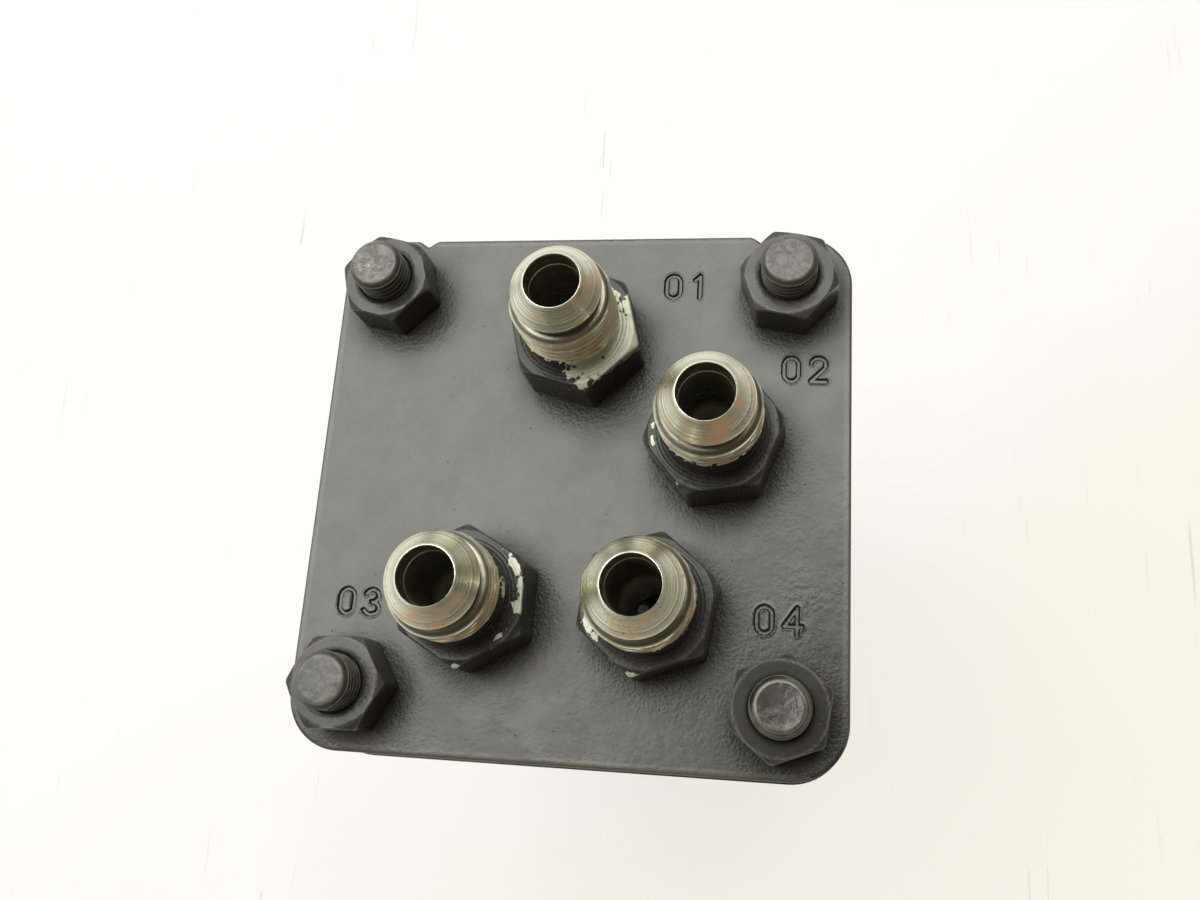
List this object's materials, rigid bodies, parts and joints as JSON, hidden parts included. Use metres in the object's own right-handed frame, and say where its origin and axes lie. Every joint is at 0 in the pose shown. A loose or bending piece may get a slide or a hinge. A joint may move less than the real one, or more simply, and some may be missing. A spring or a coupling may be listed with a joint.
{
  "type": "orbital steering unit",
  "caption": "Square stack-type hydraulic steering unit: port cover with flare fittings and through-bolts, gerotor metering set, and a serrated input shaft.",
  "frame": {"origin": "centre of the mounting face of the upper cover, on the shaft axis", "axes": "+Z along the shaft axis towards the port face; +Y towards the notched edge and the outlet port; +X towards the inlet port side"},
  "size_m": [0.0804, 0.0804, 0.1506],
  "materials": {
    "black_paint": "satin black sprayed paint with light orange peel",
    "painted_plate": "satin black paint over milled plate edges",
    "painted_casting": "satin black paint over cast iron",
    "painted_bolt": "black paint worn at the threads and the end",
    "painted_nut": "black paint",
    "plated_fitting": "bare turned steel above a black painted hexagon",
    "ground_steel": "ground",
    "bearing_steel": "lapped",
    "shaft_steel": "turned, oiled",
    "spring_steel": "blued",
    "bronze": "sintered, oiled",
    "nitrile": "matt",
    "polyurethane": "matt",
    "ptfe": "matt"
  },
  "bodies": {
    "housing": {"port_cover": "black_paint", "port_manifold": "painted_plate", "valve_ring": "painted_plate", "isolation_manifold": "painted_plate", "metering_ring": "painted_plate", "upper_cover": "painted_casting", "clamp_bolt_1": "painted_bolt", "clamp_bolt_2": "painted_bolt", "clamp_bolt_3": "painted_bolt", "clamp_bolt_4": "painted_bolt", "clamp_nut_1": "painted_nut", "clamp_nut_2": "painted_nut", "clamp_nut_3": "painted_nut", "clamp_nut_4": "painted_nut", "fitting_out": "plated_fitting", "fitting_in": "plated_fitting", "fitting_right": "plated_fitting", "fitting_left": "plated_fitting", "port_o_ring_out": "nitrile", "port_o_ring_in": "nitrile", "port_o_ring_right": "nitrile", "port_o_ring_left": "nitrile", "body_seal_1": "nitrile", "body_seal_2": "nitrile", "body_seal_3": "nitrile", "body_seal_4": "nitrile", "body_seal_5": "nitrile", "dowel_pins": "bearing_steel", "check_seat": "ground_steel", "shaft_bushing": "bronze", "shaft_seal": "nitrile", "dust_seal": "polyurethane", "seal_washer": "ground_steel", "retaining_ring": "spring_steel", "thrust_race_cover": "bearing_steel", "valve_springs": "spring_steel"},
    "input": {"input_shaft": "shaft_steel", "drive_plate": "ground_steel", "spacer_plate": "ground_steel", "stator": "ground_steel", "commutator_housing": "ground_steel", "commutator_cover": "ground_steel", "metering_screws": "ground_steel", "face_seal": "ptfe", "face_seal_backup": "nitrile", "thrust_race_drive": "bearing_steel"},
    "needle_set": {"thrust_cage": "spring_steel", "thrust_needles": "bearing_steel"},
    "commutator": {"commutator": "bearing_steel"},
    "rotor": {"rotor": "bearing_steel"},
    "link": {"drive_link": "ground_steel"},
    "valve": {"valve_plate": "ground_steel"},
    "ball": {"check_ball": "bearing_steel"}
  },
  "joints": [
    {"name": "input_spin", "type": "hinge", "parent": "housing", "child": "input", "pos_m": [0, 0, 0], "axis": [0, 0, 1], "continuous": true},
    {"name": "commutator_orbit", "type": "hinge", "parent": "housing", "child": "commutator", "pos_m": [0, 0, 0.0376], "axis": [0, 0, 1], "continuous": true},
    {"name": "rotor_hold", "type": "hinge", "parent": "commutator", "child": "rotor", "pos_m": [-0.0015, 0, 0.0308], "axis": [0, 0, 1], "continuous": true},
    {"name": "link_wobble", "type": "hinge", "parent": "commutator", "child": "link", "pos_m": [0, 0, 0.05418], "axis": [0.064, 0, 0.9979], "continuous": true},
    {"name": "needle_roll", "type": "hinge", "parent": "housing", "child": "needle_set", "pos_m": [0, 0, 0.019], "axis": [0, 0, 1], "continuous": true},
    {"name": "valve_shift", "type": "hinge", "parent": "housing", "child": "valve", "pos_m": [0, 0, 0.05418], "axis": [0, 0, 1], "range_deg": [-3, 3], "stiffness_Nm_per_rad": 2, "deforming": ["valve_springs"]},
    {"name": "check_lift", "type": "slide", "parent": "housing", "child": "ball", "axis": [0, 0, 1], "range_m": [0, 0.002]}
  ],
  "couplings": [
    {"joint": "commutator_orbit", "follows": "input_spin", "ratio": 7},
    {"joint": "rotor_hold", "follows": "input_spin", "ratio": -7},
    {"joint": "link_wobble", "follows": "input_spin", "ratio": -7},
    {"joint": "needle_roll", "follows": "input_spin", "ratio": 0.5}
  ]
}
